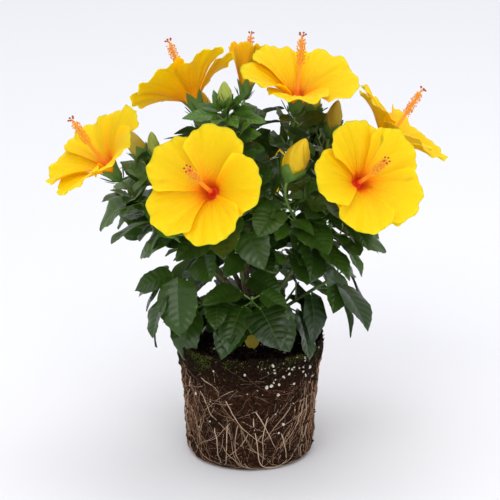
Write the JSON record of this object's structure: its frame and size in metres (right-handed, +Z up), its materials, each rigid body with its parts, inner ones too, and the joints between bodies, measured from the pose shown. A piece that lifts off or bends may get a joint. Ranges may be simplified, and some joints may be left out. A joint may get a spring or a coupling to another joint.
{
  "type": "hibiscus shrub",
  "caption": "Small flowering hibiscus shrub on its bare root ball, with a short forked trunk, leafy shoots, wide yellow blooms and buds.",
  "frame": {"origin": "centre of the root ball's flat underside", "axes": "+Z up the trunk, -Y towards the viewer of the reference view, +X to that viewer's right"},
  "size_m": [0.3411, 0.3039, 0.3768],
  "materials": {
    "root_ball": "matte, crumbly peat matted with roots",
    "bark": "matte, finely ridged young bark",
    "foliage": "glossy leaves, satin petals"
  },
  "bodies": {
    "root": {"root_ball": "root_ball", "trunk": "bark", "bough_front": "bark", "bough_front_right": "bark", "bough_right": "bark", "bough_upper_right": "bark", "bough_upper_left": "bark", "bough_crown": "bark", "bough_left": "bark", "bough_back_left": "bark", "bough_back": "bark", "bough_back_right": "bark", "mass_low_left": "foliage", "mass_low_front": "foliage", "mass_low_right": "foliage", "mass_low_back_left": "foliage", "mass_low_back_right": "foliage", "mass_front": "foliage", "mass_front_right": "foliage", "mass_right": "foliage", "mass_upper_right": "foliage", "mass_upper_left": "foliage", "mass_crown": "foliage", "mass_left": "foliage", "mass_back_left": "foliage", "mass_back": "foliage", "mass_back_right": "foliage"}
  },
  "joints": []
}
